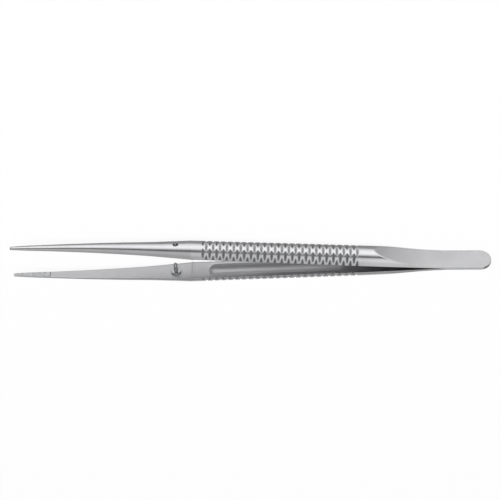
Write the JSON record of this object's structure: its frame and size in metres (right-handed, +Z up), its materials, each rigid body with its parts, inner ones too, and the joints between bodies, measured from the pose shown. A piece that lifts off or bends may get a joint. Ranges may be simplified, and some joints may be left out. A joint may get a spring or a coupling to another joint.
{
  "type": "surgical tissue forceps",
  "caption": "Long spring forceps: half-round arms with a milled lens-cut grip, tapered tips and a guide pin, welded at a flat tail.",
  "frame": {"origin": "middle of the underside, as the forceps lies on its side", "axes": "+X from the tail to the tips, Y across the gap that the arms open, +Z up along the width of the straps"},
  "size_m": [0.18, 0.018, 0.0094],
  "materials": {
    "satin_steel": "satin stainless steel, blasted and brushed so that it does not dazzle"
  },
  "bodies": {
    "tail": {"tail": "satin_steel"},
    "hole_arm": {"hole_arm": "satin_steel"},
    "pin_arm": {"pin_arm": "satin_steel", "guide_pin": "satin_steel"}
  },
  "joints": [
    {"name": "hole_arm_flexure", "type": "hinge", "parent": "tail", "child": "hole_arm", "pos_m": [-0.0725, 0, 0.00473], "axis": [0, 0, 1], "range_deg": [0, 2.4], "stiffness_Nm_per_rad": 1.15},
    {"name": "pin_arm_flexure", "type": "hinge", "parent": "tail", "child": "pin_arm", "pos_m": [-0.0725, 0, 0.00473], "axis": [0, 0, -1], "range_deg": [0, 2.4], "stiffness_Nm_per_rad": 1.15}
  ]
}
